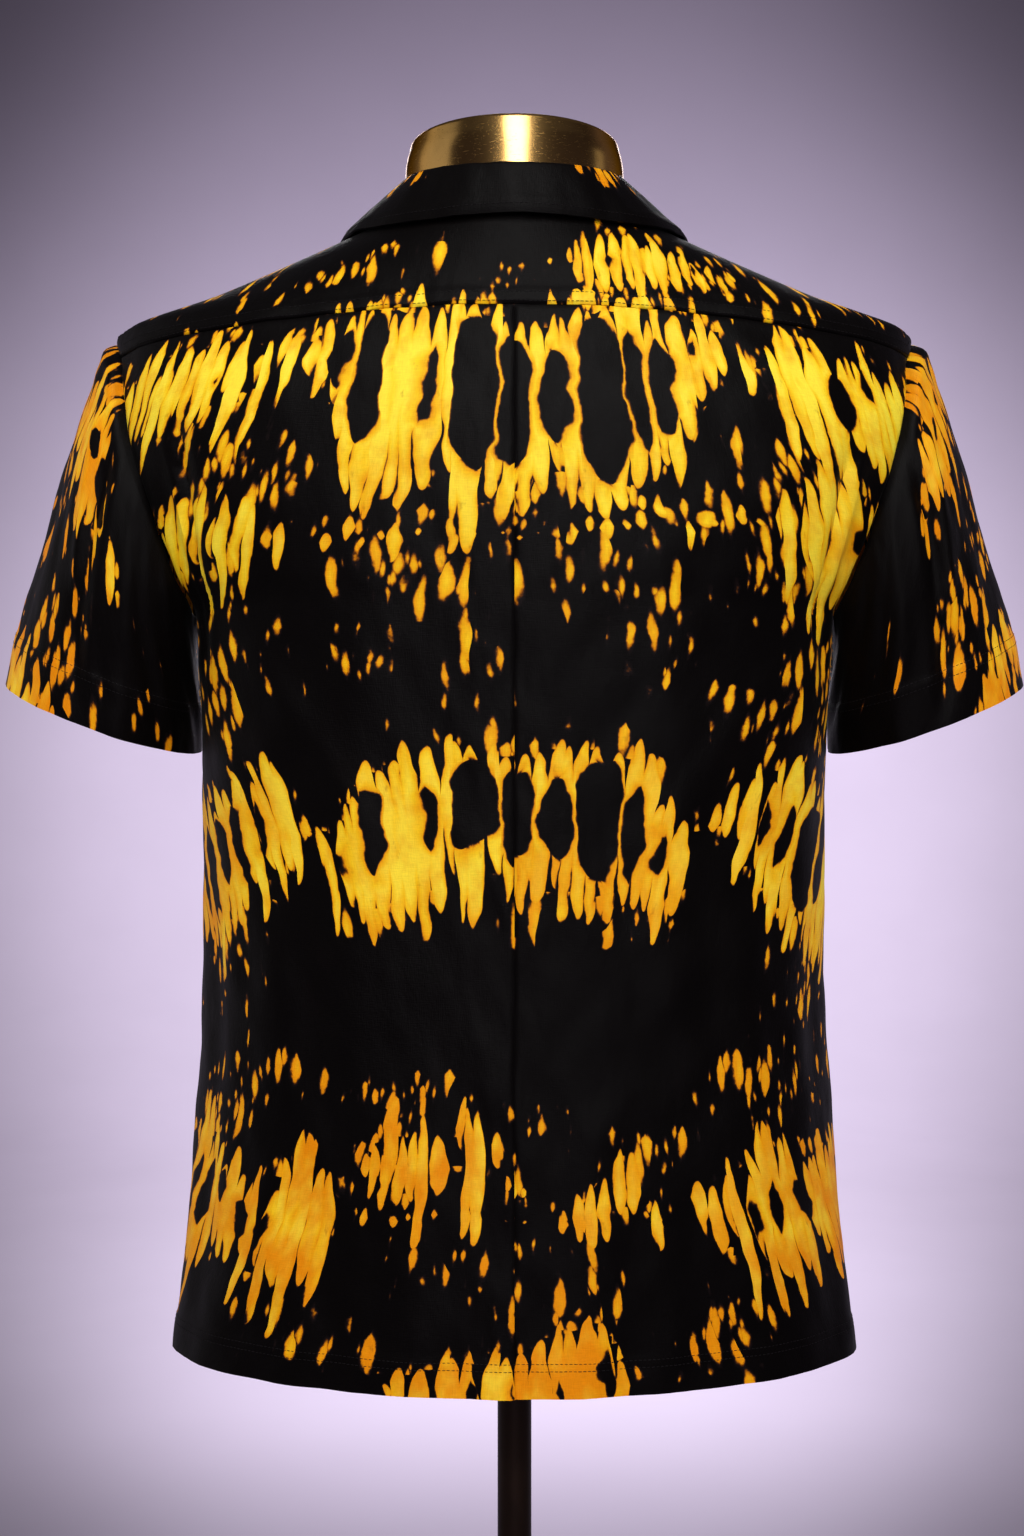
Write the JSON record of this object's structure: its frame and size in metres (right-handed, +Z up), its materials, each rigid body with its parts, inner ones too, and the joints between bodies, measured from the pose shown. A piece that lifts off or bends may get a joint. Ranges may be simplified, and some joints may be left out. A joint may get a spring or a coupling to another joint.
{
  "type": "batik shirt on a dress form",
  "caption": "Short-sleeved batik shirt with a camp collar, buttoned over a limbless dress form with a metal neck cap, a pole and a round base.",
  "frame": {"origin": "on the floor under the middle of the round base", "axes": "+Z up, -Y the front of the shirt, +Y its back, +X the wearer's left"},
  "size_m": [0.6716, 0.38, 1.5718],
  "materials": {
    "shirt_cloth": "cotton, resist dyed in golden yellow on near black",
    "buttons": "polished dark plastic",
    "form_cover": "smooth dark cover",
    "neck_cap": "polished, lightly scratched",
    "stand_metal": "satin dark brown"
  },
  "bodies": {
    "root": {"back_left": "shirt_cloth", "back_right": "shirt_cloth", "yoke": "shirt_cloth", "front_left": "shirt_cloth", "front_right": "shirt_cloth", "sleeve_left": "shirt_cloth", "sleeve_right": "shirt_cloth", "collar": "shirt_cloth", "lapel_left": "shirt_cloth", "lapel_right": "shirt_cloth", "button_1": "buttons", "button_2": "buttons", "button_3": "buttons", "button_4": "buttons", "button_5": "buttons", "form_torso": "form_cover", "neck_cap": "neck_cap", "pole": "stand_metal", "base": "stand_metal"}
  },
  "joints": []
}
